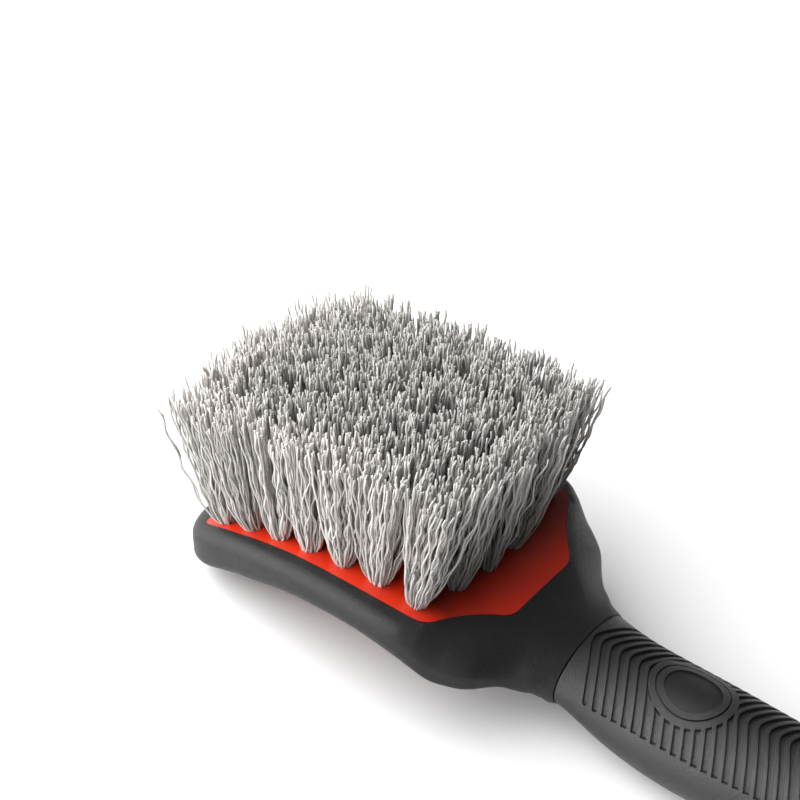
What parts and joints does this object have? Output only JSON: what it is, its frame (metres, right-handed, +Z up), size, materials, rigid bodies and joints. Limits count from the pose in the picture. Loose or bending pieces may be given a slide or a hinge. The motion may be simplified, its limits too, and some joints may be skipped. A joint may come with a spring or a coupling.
{
  "type": "wheel brush",
  "caption": "Hand brush with an arched square block of grey bristles on a red core, black soft overmould and a ribbed rubber grip.",
  "frame": {"origin": "centre of the overall footprint on the table the brush rests on, bristles up", "axes": "+X from the head towards the handle end, +Y across the brush, +Z up out of the table; the head leans so that its bristle axis is tilted back from +Z towards -X"},
  "size_m": [0.2436, 0.0894, 0.0741],
  "materials": {
    "core_red": "satin",
    "overmould_black": "matte, fine grain",
    "grip_black": "matte, chevron slots",
    "badge_black": "matte",
    "bristle_grey": "soft satin",
    "anchor_wire": "drawn wire"
  },
  "bodies": {
    "root": {"core": "core_red", "grip_badge": "badge_black", "grip_sleeve": "grip_black", "head_overmould": "overmould_black", "tuft_anchors": "anchor_wire", "tuft_row1_column1": "bristle_grey", "tuft_row1_column2": "bristle_grey", "tuft_row1_column3": "bristle_grey", "tuft_row1_column4": "bristle_grey", "tuft_row1_column5": "bristle_grey", "tuft_row1_column6": "bristle_grey", "tuft_row1_column7": "bristle_grey", "tuft_row2_column1": "bristle_grey", "tuft_row2_column2": "bristle_grey", "tuft_row2_column3": "bristle_grey", "tuft_row2_column4": "bristle_grey", "tuft_row2_column5": "bristle_grey", "tuft_row2_column6": "bristle_grey", "tuft_row2_column7": "bristle_grey", "tuft_row3_column1": "bristle_grey", "tuft_row3_column2": "bristle_grey", "tuft_row3_column3": "bristle_grey", "tuft_row3_column4": "bristle_grey", "tuft_row3_column5": "bristle_grey", "tuft_row3_column6": "bristle_grey", "tuft_row3_column7": "bristle_grey", "tuft_row4_column1": "bristle_grey", "tuft_row4_column2": "bristle_grey", "tuft_row4_column3": "bristle_grey", "tuft_row4_column4": "bristle_grey", "tuft_row4_column5": "bristle_grey", "tuft_row4_column6": "bristle_grey", "tuft_row4_column7": "bristle_grey", "tuft_row5_column1": "bristle_grey", "tuft_row5_column2": "bristle_grey", "tuft_row5_column3": "bristle_grey", "tuft_row5_column4": "bristle_grey", "tuft_row5_column5": "bristle_grey", "tuft_row5_column6": "bristle_grey", "tuft_row5_column7": "bristle_grey", "tuft_row6_column1": "bristle_grey", "tuft_row6_column2": "bristle_grey", "tuft_row6_column3": "bristle_grey", "tuft_row6_column4": "bristle_grey", "tuft_row6_column5": "bristle_grey", "tuft_row6_column6": "bristle_grey", "tuft_row6_column7": "bristle_grey"}
  },
  "joints": []
}
